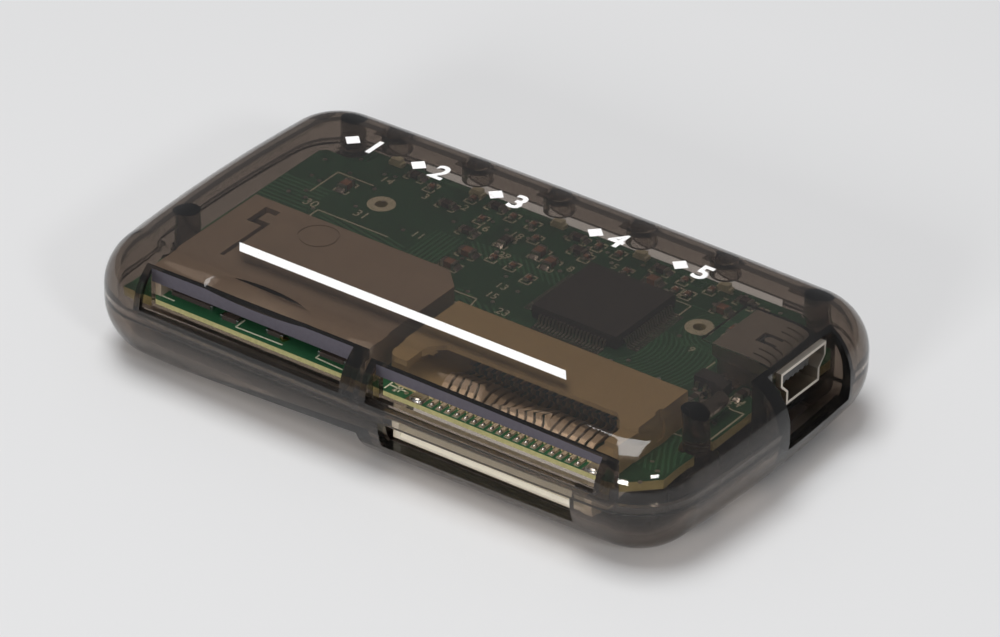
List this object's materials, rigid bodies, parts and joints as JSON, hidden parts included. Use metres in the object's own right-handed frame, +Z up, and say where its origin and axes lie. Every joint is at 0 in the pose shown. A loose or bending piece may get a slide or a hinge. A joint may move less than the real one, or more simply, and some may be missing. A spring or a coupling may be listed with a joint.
{
  "type": "usb memory card reader",
  "caption": "Flat rounded card reader in a clear smoky case, with card slots along its front and back and a mini USB socket in its end.",
  "frame": {"origin": "middle of the underside", "axes": "+X towards the end with the USB socket, -Y towards the front card slots, +Z up"},
  "size_m": [0.07, 0.0408, 0.0127],
  "materials": {
    "smoked_plastic": "clear smoky grey moulding, glossy",
    "board_green": "dark green solder mask, satin",
    "beige_plastic": "beige moulding, satin",
    "ivory_plastic": "ivory moulding, satin",
    "header_plastic": "black moulding, satin",
    "insert_plastic": "black moulding, satin",
    "chip_plastic": "black epoxy, matt",
    "gold_contacts": "gold flash over bronze, bright",
    "tinned_contacts": "tin plate, bright",
    "socket_steel": "plated steel, bright",
    "bright_can": "drawn metal can, bright",
    "indicator_resin": "clear resin, glossy",
    "resistor_body": "black film on ceramic",
    "capacitor_body": "brown ceramic"
  },
  "bodies": {
    "root": {"top_cover": "smoked_plastic", "bottom_cover": "smoked_plastic", "circuit_board": "board_green", "sd_socket_housing": "beige_plastic", "sd_socket_contacts": "gold_contacts", "xd_socket_housing": "beige_plastic", "xd_socket_contacts": "tinned_contacts", "xd_hold_down_tabs": "tinned_contacts", "ms_socket_housing": "ivory_plastic", "ms_socket_contacts": "gold_contacts", "cf_header_housing": "header_plastic", "cf_header_pins": "gold_contacts", "usb_socket_shell": "socket_steel", "usb_socket_insert": "insert_plastic", "usb_socket_contacts": "gold_contacts", "controller_chip": "chip_plastic", "controller_leads": "tinned_contacts", "crystal_can": "bright_can", "voltage_regulator": "chip_plastic", "regulator_leads": "tinned_contacts", "indicator_leds": "indicator_resin", "chip_resistors": "resistor_body", "chip_capacitors": "capacitor_body"}
  },
  "joints": []
}
